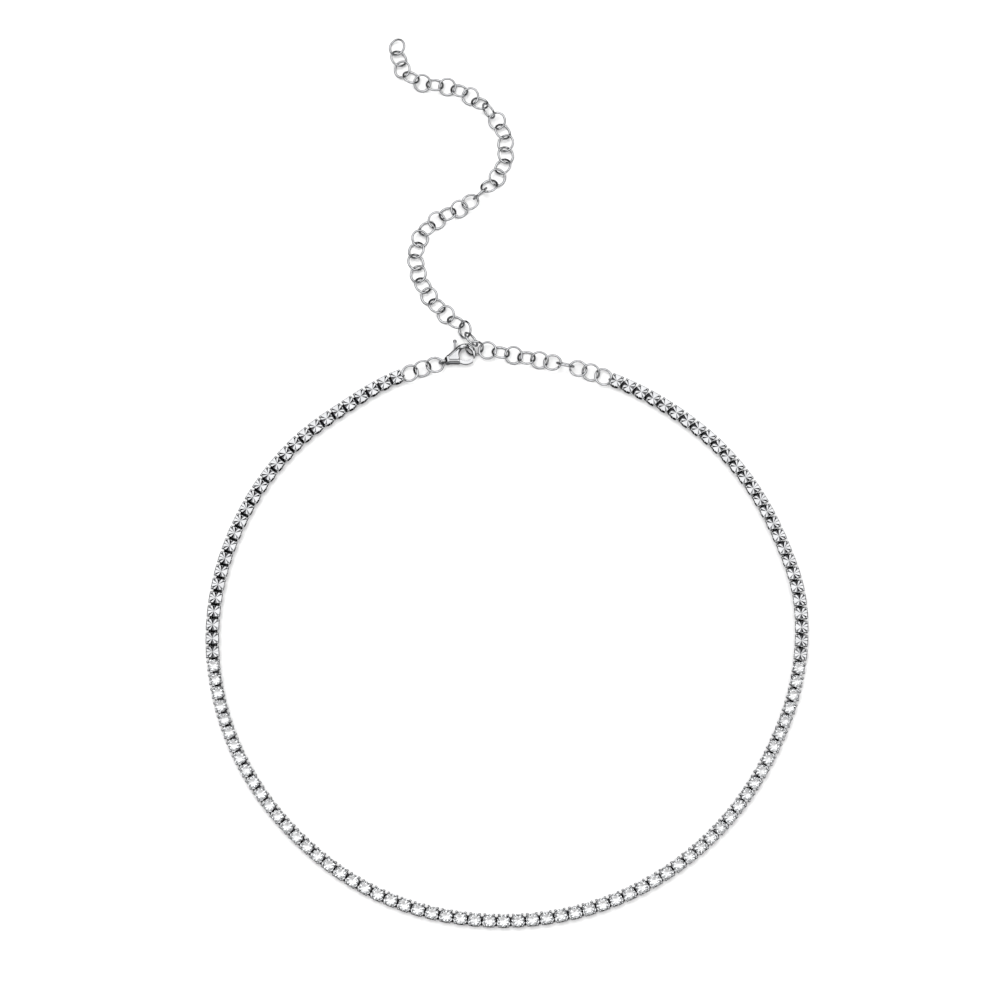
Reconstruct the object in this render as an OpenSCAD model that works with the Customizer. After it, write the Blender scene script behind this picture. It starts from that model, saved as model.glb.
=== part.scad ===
/* [Necklace] */
// Stones in the front half
stone_count = 61; // [45:1:75]
// Mirror-cut links in each back quarter
side_count = 27; // [20:1:34]
// Distance between neighbouring settings along the necklace
pitch = 2.5; // [2.45:0.01:2.8]

/* [Setting] */
// Width of a setting's base across the necklace
base_w = 1.95; // [1.7:0.05:2.05]
// Thickness of a setting's base
base_t = 0.35; // [0.25:0.05:0.45]
// Diameter of the light hole in the base
light_hole_d = 0.8; // [0.5:0.05:0.9]
// Diameter of a claw
claw_d = 0.34; // [0.28:0.02:0.4]
// Diameter of a claw's bead
bead_d = 0.44; // [0.38:0.02:0.5]
// Angle of a claw from the necklace's line, seen from the stone's middle
claw_turn = 52; // [45:1:55]

/* [Stone] */
// Diameter of a stone at its girdle
stone_d = 2.2; // [2:0.05:2.25]
// Height of the girdle above the surface
girdle_z = 1.5; // [1.45:0.01:1.6]
// Height of the crown above the girdle
crown_h = 0.34; // [0.28:0.01:0.4]
// Depth of the pavilion below the girdle
pavilion_h = 0.9; // [0.75:0.05:1]
// Diameter of the table across its corners
table_d = 1.26; // [1.1:0.02:1.36]
// Gap between a stone and its claws
stone_gap = 0.04; // [0.03:0.01:0.08]

/* [Mirror-cut link] */
// Width of a head across the necklace
head_cross = 2.36; // [2.1:0.02:2.5]
// Gap between neighbouring heads
head_gap = 0.4; // [0.3:0.02:0.5]
// Height of the head's underside above the surface
head_z = 0.95; // [0.9:0.05:1.1]
// Height of the head's middle above its underside
head_mid_h = 0.52; // [0.4:0.02:0.6]
// Height of the ridges' ends above the underside
head_ridge_h = 0.72; // [0.64:0.02:0.85]
// Height of the valleys' ends above the underside
head_valley_h = 0.44; // [0.35:0.02:0.55]

/* [Hinge] */
// Diameter of the hinge bar
bar_d = 0.22; // [0.18:0.01:0.25]
// Width of the metal round the hinge eye
eye_wire = 0.2; // [0.16:0.01:0.23]
// Width of the hinge eye across the necklace
eye_w = 0.8; // [0.7:0.02:0.84]
// Gap round the hinge bar in its eye
hinge_gap = 0.11; // [0.1:0.01:0.13]
// Height of the hinge bar above the surface
bar_z = 0.52; // [0.48:0.01:0.6]
// Width of one hinge ear across the necklace
ear_w = 0.24; // [0.18:0.02:0.32]

/* [Links] */
// Links of the extender chain
link_count = 46; // [44:1:48]
// Outer diameter of a link
link_od = 3.48; // [3.4:0.02:3.6]
// Diameter of the links' wire
link_wire = 0.42; // [0.38:0.01:0.44]
// Play between two links that are drawn straight
link_play = 0.21; // [0.18:0.01:0.25]
// Slack that the free tail keeps at each link
tail_slack = 0.02; // [0.01:0.01:0.06]
// Distance from the hooked link to the first link of the tail, which hangs from it
tail_first = 1.75; // [1.7:0.01:1.8]
// Sideways lean of the lying links
lean = 26; // [24:1:30]

/* [Clasp] */
// Distance from the clasp's eye to the middle of its hook
hook_x = 4.4; // [4.3:0.05:4.6]
// Diameter of the clasp's hook opening
hook_bore = 2.48; // [2.4:0.02:2.6]
// Width of the hook band
hook_band = 0.68; // [0.6:0.02:0.72]
// Height of the hook band
band_h = 0.78; // [0.7:0.02:0.82]
// Height of the clasp's body
clasp_h = 2.0; // [1.85:0.05:2.2]
// Thickness of the lever
lever_t = 0.54; // [0.44:0.02:0.6]
// Width of the lever's stem
stem_w = 0.42; // [0.36:0.02:0.5]
// Diameter of the lever's knob
knob_d = 0.72; // [0.6:0.02:0.8]
// Gap between the lever and its slot, and round its pin
lever_gap = 0.05; // [0.04:0.01:0.07]
// Diameter of the lever's pin
pin_d = 0.5; // [0.4:0.02:0.54]
// Opening angle of the lever
lever_open = 12; // [8:1:12]
// Wire thickness of the clasp's eye
clasp_eye_wire = 0.46; // [0.4:0.02:0.5]

/* [Hidden] */
$fn = 48;

// Sizes of the links, how far inside its wire a link is crossed by the next, and where the
// tail's lean changes sides
link_r = (link_od - link_wire) / 2;
link_pitch = link_od - 2 * link_wire - link_play;
tail_pitch = link_pitch - tail_slack;
stack_z = 1.4;
standing_lean = 60;
crossing_in = 0.15;
tail_swap_j = 36;

// Sizes of the hinges: the base fills the room between two hinge eyes
eye_out_r = bar_d / 2 + hinge_gap + eye_wire;
base_l = pitch - 2 * (eye_out_r + hinge_gap);
base_chamfer = 0.3;
ear_in = eye_w / 2 + hinge_gap;
ear_r = bar_d / 2 + 0.12;

// Sizes of a setting's claws, from the stone that they hold
claw_foot = [base_l / 2 - claw_d / 2 - 0.1, base_w / 2 - claw_d / 2 - 0.06, base_t / 2];
claw_way = [cos(claw_turn), sin(claw_turn)];
claw_top = (stone_d / 2 + stone_gap + claw_d / 2) * claw_way;
crown_tilt = atan2(crown_h, (stone_d - table_d) / 2);
bead_out = 0.12;
bead_up = (bead_d / 2 + stone_gap - bead_out * sin(crown_tilt)) / cos(crown_tilt);
bead_at = (stone_d / 2 + bead_out) * claw_way;
claw_reach = 0.05;

// Sizes of the mirror-cut head
head_top = [(pitch - head_gap) / 2, head_cross / 2];
head_low = head_top - [0.16, 0.16];
head_bead = head_top - [1, 1] * (bead_d / 2 + 0.02);
head_bead_z = head_z + head_ridge_h - 0.05;

// The eye at each end of the string takes a link's wire
end_eye_wire = 0.24;
end_eye_r = link_wire / 2 + 0.12 + end_eye_wire / 2;
end_eye_x = base_l / 2 + link_wire / 2 + 0.09;
end_eye_z = end_eye_r + end_eye_wire / 2 + 0.03;

// Plan of the clasp, with its eye at the origin and its hook along +X; the cuts through it
// reach beyond its outline
clasp_eye_r = link_wire / 2 + 0.16 + clasp_eye_wire / 2;
clasp_eye_z = clasp_eye_r + clasp_eye_wire / 2 + 0.1;
body_x = clasp_eye_r - clasp_eye_wire / 2 + 0.05;
neck_c = [0.5, 0];
neck_r = 0.45;
hook_r = hook_bore / 2;
hook_c = [hook_x, 0.4];
hook_out_r = hook_r + hook_band;
hook_out_c = [hook_x, 0.6];
gate_y = -0.35;
nose_y = -0.75;
fork_x = hook_x - 1.4;
band_z = 1.11;
body_chamfer = 0.45;
beyond = 5;

// Plan of the lever, which turns about its pin
pin_c = [hook_x - 2.1, -0.2];
knob_c = [hook_x - 1.37, hook_out_c[1] + hook_out_r + 0.83];
lever_disc_r = pin_d / 2 + lever_gap + 0.2;
lever_out_c = [hook_x, 0.35];
gate_gap = lever_gap + 0.02;
bore_gap = lever_gap + 0.01;
lever_tip_r = hook_x + hook_r - pin_c[0] - bore_gap;
lever_top_y = gate_y - gate_gap;

// The hooked link: its inner end lies in the hook, and it leans over the band
hooked_j = 10;
hooked_lean = -57;
hooked_turn = -2;
hooked_end = hook_c + hook_r * [0.262, 0.58];
hooked_c = hooked_end + link_r * [cos(hooked_turn), sin(hooked_turn)];
hooked_z = link_r * sin(abs(hooked_lean)) + link_wire / 2;
hooked_pose = [[hooked_c[0], hooked_c[1], hooked_z], hooked_turn + 180, 0, hooked_lean];

// The three rings at the left end, from the clasp: sideways lean
ring_lean = [10, -46, 8];
eye_gap = link_r + 0.05;

// Course of the closed loop: angle in degrees, share of the loop's radius
loop_course = [
    [112.6, 1.000], [125, 0.989], [136, 0.998], [158, 1.002], [180, 1.006],
    [202, 1.004], [224, 1.000], [246, 1.002], [268, 0.996], [290, 0.994],
    [313, 0.992], [335, 0.994], [346, 1.004], [357, 1.013], [368, 1.017],
    [379, 1.006], [400, 1.000], [412, 0.992], [427, 0.989], [438, 0.990],
    [446, 1.000], [452, 1.022], [456.3, 1.035], [463.4, 1.004], [468, 0.998]
];

// Course of the free tail from the hooked link: shares of the tail's length along X and Y
tail_course = [
    [0, 0], [-0.005, 0.025], [-0.044, 0.065], [-0.085, 0.104], [-0.115, 0.152],
    [-0.13, 0.209], [-0.118, 0.265], [-0.078, 0.307], [-0.024, 0.335], [0.022, 0.373],
    [0.056, 0.417], [0.069, 0.473], [0.056, 0.528], [0.022, 0.57], [-0.016, 0.605],
    [-0.068, 0.626], [-0.121, 0.634], [-0.164, 0.667], [-0.176, 0.722]
];

// Links that lean in their own way: number from the string's end, lean
own_lean = [
    [0, 6], [1, -36], [2, 10], [3, 66], [4, 10], [5, -36],
    [25, 32], [26, -15], [27, -74], [33, 30], [34, -20], [35, -78], [42, 32]
];

// Links beside the hook: number, offset along X and Y, height, turn, rise, lean
beside_hook = [
    [8, 0.02, -0.1, 1.07, 161, -3, 33],
    [9, -0.02, -0.11, 1.1, 199, -5, -7],
    [11, -0.39, -0.2, 2.17, 130, 10, 58],
    [12, -0.04, 0.06, 1.54, 131, -26, -45],
    [13, 0, 0.01, 1.07, 147, -1, 34],
    [14, -0.06, 0.03, 0.79, 144, -6, -21]
];

// Running length at each point of a course
function run(points) = [
    for (
        i = 0, s = 0;
        i < len(points);
        i = i + 1, s = s + (i < len(points) ? norm(points[i] - points[i - 1]) : 0)
    ) s
];
function last(list) = list[len(list) - 1];
function table(keys, points, axis) = [for (i = [0 : len(keys) - 1]) [keys[i], points[i][axis]]];

// The closed loop as a smooth curve through its course
course_rows = len(loop_course);
function row_angle(k) =
    loop_course[(k + course_rows) % course_rows][0] + 360 * floor(k / course_rows);
function row_share(k) = loop_course[(k + course_rows) % course_rows][1];
function row_slope(k) = (row_share(k + 1) - row_share(k - 1)) / (row_angle(k + 1) - row_angle(k - 1));
function share_between(k, t, h) =
    (2 * pow(t, 3) - 3 * pow(t, 2) + 1) * row_share(k)
    + (pow(t, 3) - 2 * pow(t, 2) + t) * h * row_slope(k)
    + (3 * pow(t, 2) - 2 * pow(t, 3)) * row_share(k + 1)
    + (pow(t, 3) - pow(t, 2)) * h * row_slope(k + 1);
unit_loop = [
    for (k = [0 : course_rows - 1])
        let (h = row_angle(k + 1) - row_angle(k), n = ceil(h))
        for (i = [0 : n - 1])
            let (a = row_angle(k) + h * i / n, r = share_between(k, i / n, h))
            [r * cos(a), r * sin(a)],
    row_share(0) * [cos(row_angle(0)), sin(row_angle(0))]
];
loop_run = run(unit_loop);
loop_xs = table(loop_run, unit_loop, 0);
loop_ys = table(loop_run, unit_loop, 1);

// Places along the loop, in order, and the radius that the pieces' lengths give it
setting_count = stone_count + 2 * side_count;
string_end = (setting_count - 1) * pitch + end_eye_x;
hooked_s = string_end + link_r + hooked_j * link_pitch;
clasp_eye_s = hooked_s + norm(hooked_c);
first_ring_s = clasp_eye_s + eye_gap;
loop_length = first_ring_s + (len(ring_lean) - 1) * link_pitch + link_r + end_eye_x;
loop_radius = loop_length / last(loop_run);
function loop_at(s) =
    let (u = (s < 0 ? s + loop_length : s) / loop_radius)
    loop_radius * [lookup(u, loop_xs), lookup(u, loop_ys)];

// The free tail as a smooth curve through its course
tail_steps = 10;
tail_rows = len(tail_course);
function tail_row(k) =
    k < 0 ? 2 * tail_course[0] - tail_course[1]
    : k >= tail_rows ? 2 * tail_course[tail_rows - 1] - tail_course[tail_rows - 2]
    : tail_course[k];
function tail_between(k, t) =
    let (a = tail_row(k - 1), b = tail_row(k), c = tail_row(k + 1), d = tail_row(k + 2))
    (2 * b + (c - a) * t + (2 * a - 5 * b + 4 * c - d) * pow(t, 2)
        + (3 * b - a - 3 * c + d) * pow(t, 3)) / 2;
unit_tail = [
    for (k = [0 : tail_rows - 2], i = [0 : tail_steps - 1]) tail_between(k, i / tail_steps),
    last(tail_course)
];
tail_run = run(unit_tail);
tail_xs = table(tail_run, unit_tail, 0);
tail_ys = table(tail_run, unit_tail, 1);
tail_scale = (tail_first + (link_count - 2 - hooked_j) * tail_pitch) / last(tail_run);
function tail_at(s) =
    loop_at(hooked_s) + tail_scale * [lookup(s / tail_scale, tail_xs), lookup(s / tail_scale, tail_ys)];

// Pose of each link: centre, turn about Z, rise along its length, sideways lean
function heading(a, b) = atan2(b[1] - a[1], b[0] - a[0]);
function link_centre(j) =
    j <= hooked_j ? loop_at(hooked_s + (j - hooked_j) * link_pitch)
    : tail_at(tail_first + (j - hooked_j - 1) * tail_pitch);
function before_link(j) = j > 0 ? link_centre(j - 1) : loop_at((setting_count - 1) * pitch);
function after_link(j) =
    j < link_count - 1 ? link_centre(j + 1) : 2 * link_centre(j) - link_centre(j - 1);
function usual_lean(j) = lean * (j % 2 == 0 ? 1 : -1) * (j <= hooked_j || j >= tail_swap_j ? 1 : -1);
function link_lean(j) =
    let (own = [for (l = own_lean) if (l[0] == j) l[1]])
    len(own) > 0 ? own[0] : usual_lean(j);
function rest_z(angle) = link_r * sin(abs(angle)) + link_wire / 2;
function crossing_z(a, b) = min(stack_z, max(rest_z(a), rest_z(b)));
function rise(z0, z1) = asin((z1 - z0) / (2 * link_r - 2 * crossing_in));
function lying_pose(c, turn, z0, z1, angle) =
    abs(angle) >= standing_lean ? [[c[0], c[1], rest_z(angle)], turn, 0, angle]
    : [[c[0], c[1], (z0 + z1) / 2], turn, rise(z0, z1), angle];
function lain_pose(j) = lying_pose(
    link_centre(j),
    heading(before_link(j), after_link(j)),
    j == 0 ? end_eye_z : crossing_z(link_lean(j - 1), link_lean(j)),
    crossing_z(link_lean(j), link_lean(j + 1)),
    link_lean(j)
);

function link_pose(j) =
    let (own = [for (l = beside_hook) if (l[0] == j) l], c = link_centre(j))
    len(own) == 0 ? lain_pose(j)
    : [[c[0] + own[0][1], c[1] + own[0][2], own[0][3]], own[0][4], own[0][5], own[0][6]];

// Where the clasp lies
clasp_eye = loop_at(clasp_eye_s);
clasp_turn = heading(clasp_eye, loop_at(hooked_s)) - atan2(hooked_c[1], hooked_c[0]);
flank_dir = hook_out_c - neck_c;
flank_turn = atan2(flank_dir[1], flank_dir[0]);
flank_side = acos((neck_r - hook_out_r) / norm(flank_dir));
stem_turn = heading(pin_c, knob_c);
function around(c, r, angle) = c + r * [cos(angle), sin(angle)];

// A straight round claw
module claw(from, to) {
    v = to - from;
    translate(from)
        rotate([0, acos(v[2] / norm(v)), atan2(v[1], v[0])])
            cylinder(h = norm(v), d = claw_d);
}

module wire_ring(r, wire) {
    rotate_extrude()
        translate([r, 0])
            circle(d = wire);
}

// A vertical eye that a bar or wire crosses from side to side
module eye(r, wire) {
    rotate([90, 0, 0])
        wire_ring(r, wire);
}

// Stands a setting on the loop, with its hinges on the curve
module at_setting(i) {
    from = loop_at((i - 0.5) * pitch);
    to = loop_at((i + 0.5) * pitch);
    translate([(from[0] + to[0]) / 2, (from[1] + to[1]) / 2, 0])
        rotate(heading(from, to))
            children();
}

module base_plate() {
    x = base_l / 2;
    y = base_w / 2;
    c = base_chamfer;
    difference() {
        linear_extrude(base_t)
            polygon([
                [x, c - y], [x, y - c], [x - c, y], [c - x, y],
                [-x, y - c], [-x, c - y], [c - x, -y], [x - c, -y]
            ]);
        translate([0, 0, -1])
            cylinder(h = base_t + 2, d = light_hole_d);
    }
}

// Barrel-shaped eye on a stem, which the next setting's bar crosses
module hinge_eye() {
    stem_x = pitch / 2 - eye_out_r + eye_wire / 2;
    translate([-pitch / 2, eye_w / 2, bar_z])
        rotate([90, 0, 0])
            difference() {
                cylinder(h = eye_w, r = eye_out_r);
                translate([0, 0, -1])
                    cylinder(h = eye_w + 2, r = eye_out_r - eye_wire);
            }
    translate([-stem_x, -eye_w / 2, base_t / 3])
        cube([stem_x - base_l / 2 + 0.15, eye_w, bar_z - base_t / 3 + 0.1]);
}

module hinge_ears() {
    reach = ear_in + ear_w;
    for (y = [-reach, ear_in]) {
        translate([0, y + ear_w, 0])
            rotate([90, 0, 0])
                linear_extrude(ear_w)
                    polygon([
                        [base_l / 2 - 0.2, base_t / 3],
                        [pitch / 2, bar_z - ear_r],
                        [pitch / 2 + ear_r, bar_z],
                        [pitch / 2, bar_z + ear_r],
                        [base_l / 2 - 0.2, bar_z + ear_r]
                    ]);
    }
    translate([pitch / 2, -reach + ear_w / 2, bar_z])
        rotate([-90, 0, 0])
            cylinder(h = 2 * reach - ear_w, d = bar_d);
}

module end_eye(side) {
    translate([side * end_eye_x, 0, end_eye_z])
        eye(end_eye_r, end_eye_wire);
}

// Base, hinge halves and the legs up to where the head or stone sits
module link_foot(i, leg_top) {
    base_plate();
    if (i > 0) hinge_eye();
    if (i < setting_count - 1) hinge_ears();
    if (i == 0) end_eye(-1);
    if (i == setting_count - 1) end_eye(1);
    for (x = [-1, 1], y = [-1, 1])
        claw(
            [x * claw_foot[0], y * claw_foot[1], claw_foot[2]],
            [x * leg_top[0], y * leg_top[1], leg_top[2]]
        );
}

module beads(corner, z) {
    for (x = [-1, 1] * corner[0], y = [-1, 1] * corner[1])
        translate([x, y, z])
            sphere(d = bead_d);
}

module claw_setting(i) {
    link_foot(i, [claw_top[0], claw_top[1], girdle_z + claw_reach]);
    beads(bead_at, girdle_z + bead_up);
}

// Eight wedge facets that run from the middle to the corners and the sides' middles
module mirror_head() {
    rim = [[1, 0], [1, 1], [0, 1], [-1, 1], [-1, 0], [-1, -1], [0, -1], [1, -1]];
    points = [
        [0, 0, head_mid_h],
        for (k = [0 : 7])
            [
                rim[k][0] * head_top[0], rim[k][1] * head_top[1],
                k % 2 == 0 ? head_valley_h : head_ridge_h
            ],
        for (k = [0 : 7]) [rim[k][0] * head_low[0], rim[k][1] * head_low[1], 0]
    ];
    faces = [
        for (k = [0 : 7]) [0, 1 + (k + 1) % 8, 1 + k],
        for (k = [0 : 7]) [1 + k, 1 + (k + 1) % 8, 9 + (k + 1) % 8],
        for (k = [0 : 7]) [1 + k, 9 + (k + 1) % 8, 9 + k],
        [for (k = [0 : 7]) 9 + k]
    ];
    translate([0, 0, head_z])
        polyhedron(points, faces);
}

module mirror_link(i) {
    link_foot(i, [head_bead[0], head_bead[1], head_z + 0.1]);
    beads(head_bead, head_bead_z);
    mirror_head();
}

// Round brilliant: eight-sided table, sixteen-sided girdle and a pointed pavilion
module stone() {
    points = [
        for (k = [0 : 7]) [table_d / 2 * cos(45 * k), table_d / 2 * sin(45 * k), crown_h],
        for (k = [0 : 15]) [stone_d / 2 * cos(22.5 * k), stone_d / 2 * sin(22.5 * k), 0],
        [0, 0, -pavilion_h]
    ];
    faces = [
        [for (k = [7 : -1 : 0]) k],
        for (k = [0 : 7]) [k, (k + 1) % 8, 9 + 2 * k],
        for (k = [0 : 7]) [k, 9 + 2 * k, 8 + 2 * k],
        for (k = [0 : 7]) [(k + 1) % 8, 8 + (2 * k + 2) % 16, 9 + 2 * k],
        for (k = [0 : 15]) [8 + k, 8 + (k + 1) % 16, 24]
    ];
    translate([0, 0, girdle_z])
        polyhedron(points, faces);
}

module left_links() {
    color("silver")
        for (i = [0 : side_count - 1])
            at_setting(i)
                mirror_link(i);
}

module front_settings() {
    color("gainsboro")
        for (i = [side_count : side_count + stone_count - 1])
            at_setting(i)
                claw_setting(i);
}

module stones() {
    color("aliceblue")
        for (i = [side_count : side_count + stone_count - 1])
            at_setting(i)
                stone();
}

module right_links() {
    color("silver")
        for (i = [side_count + stone_count : setting_count - 1])
            at_setting(i)
                mirror_link(i);
}

module link(pose) {
    translate(pose[0])
        rotate([0, 0, pose[1]])
            rotate([0, -pose[2], 0])
                rotate([pose[3], 0, 0])
                    wire_ring(link_r, link_wire);
}

module extender_chain() {
    color("lightgray")
        for (j = [0 : link_count - 1])
            if (j == hooked_j)
                at_clasp()
                    link(hooked_pose);
            else
                link(link_pose(j));
}

module end_rings() {
    count = len(ring_lean);
    color("lightgray")
        for (k = [0 : count - 1]) {
            s = first_ring_s + k * link_pitch;
            turn = heading(loop_at(s - link_r), loop_at(s + link_r));
            z0 = k == 0 ? clasp_eye_z : crossing_z(ring_lean[k - 1], ring_lean[k]);
            z1 = k == count - 1 ? end_eye_z : crossing_z(ring_lean[k], ring_lean[k + 1]);
            link(lying_pose(loop_at(s), turn, z0, z1, ring_lean[k]));
        }
}

module at_clasp() {
    translate([clasp_eye[0], clasp_eye[1], 0])
        rotate(clasp_turn)
            children();
}

// Outer form of the clasp: thick at the lever's pin, thin along the hook
module clasp_casting() {
    low = band_z - band_h / 2;
    high = band_z + band_h / 2;
    end = hook_x + hook_out_r + 1;
    intersection() {
        union() {
            translate(neck_c)
                cylinder(h = clasp_h, r = neck_r);
            translate(hook_out_c)
                cylinder(h = clasp_h, r = hook_out_r);
            linear_extrude(clasp_h)
                polygon([
                    around(neck_c, neck_r, flank_turn + flank_side),
                    around(neck_c, neck_r, flank_turn - flank_side),
                    around(hook_out_c, hook_out_r, flank_turn - flank_side),
                    around(hook_out_c, hook_out_r, flank_turn + flank_side)
                ]);
        }
        translate([0, beyond, 0])
            rotate([90, 0, 0])
                linear_extrude(2 * beyond)
                    polygon([
                        [body_x, body_chamfer], [body_x + body_chamfer, 0],
                        [pin_c[0] + body_chamfer, 0], [hook_x - 0.5, low], [end, low],
                        [end, high], [hook_x - 0.5, high],
                        [pin_c[0] + body_chamfer, clasp_h], [body_x + body_chamfer, clasp_h],
                        [body_x, clasp_h - body_chamfer]
                    ]);
    }
}

module hook_opening() {
    translate([hook_c[0], hook_c[1], -1])
        cylinder(h = clasp_h + 2, r = hook_r);
    translate([hook_c[0] - hook_r, hook_c[1] - beyond, -1])
        cube([2 * hook_r, beyond, clasp_h + 2]);
    translate([fork_x, gate_y - beyond, -1])
        cube([hook_x - fork_x, beyond, clasp_h + 2]);
    translate([hook_x, nose_y - beyond, -1])
        cube([beyond, beyond, clasp_h + 2]);
}

// Room for the lever's disc, stem and arm through the whole swing
module lever_slot() {
    stem_l = norm(knob_c - pin_c);
    half = stem_w / 2 + lever_gap;
    open_turn = stem_turn + lever_open;
    arm_l = hook_x - pin_c[0] - hook_r + 0.6;
    translate([0, 0, band_z - lever_t / 2 - lever_gap]) {
        h = lever_t + 2 * lever_gap;
        translate(pin_c)
            cylinder(h = h, r = lever_disc_r + lever_gap);
        linear_extrude(h)
            polygon([
                around(pin_c, half, stem_turn - 90),
                around(pin_c, half, stem_turn - 90) + around([0, 0], stem_l, stem_turn),
                around(pin_c, half, open_turn + 90) + around([0, 0], stem_l, open_turn),
                around(pin_c, half, open_turn + 90)
            ]);
        linear_extrude(h)
            polygon([
                pin_c,
                around(pin_c, arm_l, -60),
                around(pin_c, arm_l, -25),
                around(pin_c, arm_l, lever_open - 6)
            ]);
    }
}

module clasp_body() {
    color("gainsboro")
        at_clasp() {
            difference() {
                clasp_casting();
                hook_opening();
                lever_slot();
            }
            translate([pin_c[0], pin_c[1], 0.2])
                cylinder(h = clasp_h - 0.4, d = pin_d);
            translate([0, 0, clasp_eye_z])
                eye(clasp_eye_r, clasp_eye_wire);
        }
}

module clasp_lever() {
    low = band_z - lever_t / 2;
    root_x = pin_c[0] + 0.3;
    color("silver")
        at_clasp()
            difference() {
                union() {
                    translate([pin_c[0], pin_c[1], low])
                        cylinder(h = lever_t, r = lever_disc_r);
                    translate([pin_c[0], pin_c[1], low])
                        rotate(stem_turn)
                            translate([0, -stem_w / 2, 0])
                                cube([norm(knob_c - pin_c), stem_w, lever_t]);
                    translate([knob_c[0], knob_c[1], band_z])
                        sphere(d = knob_d);
                    translate([0, 0, low])
                        linear_extrude(lever_t)
                            polygon([
                                pin_c + [0.1, lever_disc_r - 0.05],
                                [pin_c[0] + 0.8, lever_top_y],
                                [pin_c[0] + 0.7, lever_top_y - 0.5],
                                pin_c + [0.1, 0.02 - lever_disc_r]
                            ]);
                    intersection() {
                        translate([lever_out_c[0], lever_out_c[1], low])
                            cylinder(h = lever_t, r = hook_out_r);
                        translate([pin_c[0], pin_c[1], low])
                            cylinder(h = lever_t, r = lever_tip_r);
                        difference() {
                            translate([root_x, lever_top_y - beyond, low])
                                cube([beyond, beyond, lever_t]);
                            translate([hook_c[0], hook_c[1], low - 1])
                                cylinder(h = lever_t + 2, r = hook_r + bore_gap);
                        }
                    }
                }
                translate([pin_c[0], pin_c[1], low - 1])
                    cylinder(h = lever_t + 2, d = pin_d + 2 * lever_gap);
            }
}

left_links();
front_settings();
stones();
right_links();
end_rings();
clasp_body();
clasp_lever();
extender_chain();
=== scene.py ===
"""Looks of a riviere choker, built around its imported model.

Sizes are in millimetres until a piece is made. A setting's own axes are x along the band, y across
it and z up from the surface that the necklace lies on.
"""

import math

import bpy
import numpy as np
from mathutils import Matrix, Vector


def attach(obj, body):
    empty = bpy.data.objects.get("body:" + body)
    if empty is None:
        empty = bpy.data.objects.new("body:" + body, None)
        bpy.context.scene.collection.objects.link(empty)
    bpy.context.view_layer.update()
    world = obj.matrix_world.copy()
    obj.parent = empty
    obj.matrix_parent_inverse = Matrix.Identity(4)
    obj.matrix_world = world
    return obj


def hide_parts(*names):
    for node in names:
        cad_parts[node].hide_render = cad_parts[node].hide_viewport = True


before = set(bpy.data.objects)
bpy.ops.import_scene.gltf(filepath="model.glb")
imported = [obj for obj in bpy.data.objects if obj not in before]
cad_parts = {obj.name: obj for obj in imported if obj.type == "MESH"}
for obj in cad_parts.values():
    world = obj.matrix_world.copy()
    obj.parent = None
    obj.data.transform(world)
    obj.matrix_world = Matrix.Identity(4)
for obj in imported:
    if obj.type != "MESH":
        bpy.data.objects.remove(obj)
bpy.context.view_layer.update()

MM = 0.001

# Sizes and courses as in the part's source
STONES, SIDE, PITCH = 61, 27, 2.5
SETTINGS = STONES + 2 * SIDE
STONE_R, GIRDLE_Z, CROWN_H, PAVILION_H, TABLE_R = 1.1, 1.5, 0.34, 0.9, 0.63
BAR_R, BAR_Z, HINGE_GAP, EYE_WIRE, EYE_W = 0.11, 0.52, 0.11, 0.2, 0.8
EYE_OUT_R = BAR_R + HINGE_GAP + EYE_WIRE
EAR_IN, EAR_W, EAR_R = EYE_W / 2 + HINGE_GAP, 0.24, 0.23
BASE_L = PITCH - 2 * (EYE_OUT_R + HINGE_GAP)
BASE_W, BASE_T, BASE_CUT, HOLE_R = 1.95, 0.35, 0.3, 0.4
CLAW_R, BEAD_R, CLAW_TURN, STONE_GAP = 0.17, 0.22, 52, 0.04
HEAD_Z, HEAD_MID, HEAD_RIDGE = 0.95, 0.52, 0.72
HEAD_TOP, HEAD_TAPER = np.array([1.05, 1.18]), 0.16
LINKS, LINK_R, WIRE_R = 46, 1.53, 0.21
LINK_PITCH, TAIL_PITCH, TAIL_FIRST = 2.43, 2.41, 1.75
STACK_Z, STANDING, CROSSING_IN, TAIL_SWAP = 1.4, 60, 0.15, 36
END_EYE_R, END_EYE_WIRE, END_EYE_X, END_EYE_Z = 0.45, 0.24, BASE_L / 2 + 0.3, 0.6
HOOKED, HOOKED_LEAN, HOOKED_TURN = 10, -57, -2
HOOKED_C = np.array([6.254, 1.066])
CLASP_EYE_Z, EYE_GAP = 0.93, LINK_R + 0.05
LEAN, RING_LEAN = 26, [10, -46, 8]
# The lean of the extender links that don't alternate by LEAN
OWN_LEAN = {
    0: 6, 1: -36, 2: 10, 3: 66, 4: 10, 5: -36, 25: 32, 26: -15, 27: -74, 33: 30, 34: -20,
    35: -78, 42: 32,
}
# Links beside the hook: shift in x and y, height, turn, rise and lean
BESIDE_HOOK = {
    8: (0.02, -0.1, 1.07, 161, -3, 33),
    9: (-0.02, -0.11, 1.1, 199, -5, -7),
    11: (-0.39, -0.2, 2.17, 130, 10, 58),
    12: (-0.04, 0.06, 1.54, 131, -26, -45),
    13: (0, 0.01, 1.07, 147, -1, 34),
    14: (-0.06, 0.03, 0.79, 144, -6, -21),
}
# The loop's course: angle in degrees, and share of the loop's radius
LOOP_COURSE = [
    (112.6, 1.000), (125, 0.989), (136, 0.998), (158, 1.002), (180, 1.006),
    (202, 1.004), (224, 1.000), (246, 1.002), (268, 0.996), (290, 0.994),
    (313, 0.992), (335, 0.994), (346, 1.004), (357, 1.013), (368, 1.017),
    (379, 1.006), (400, 1.000), (412, 0.992), (427, 0.989), (438, 0.990),
    (446, 1.000), (452, 1.022), (456.3, 1.035), (463.4, 1.004), (468, 0.998),
]
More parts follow.
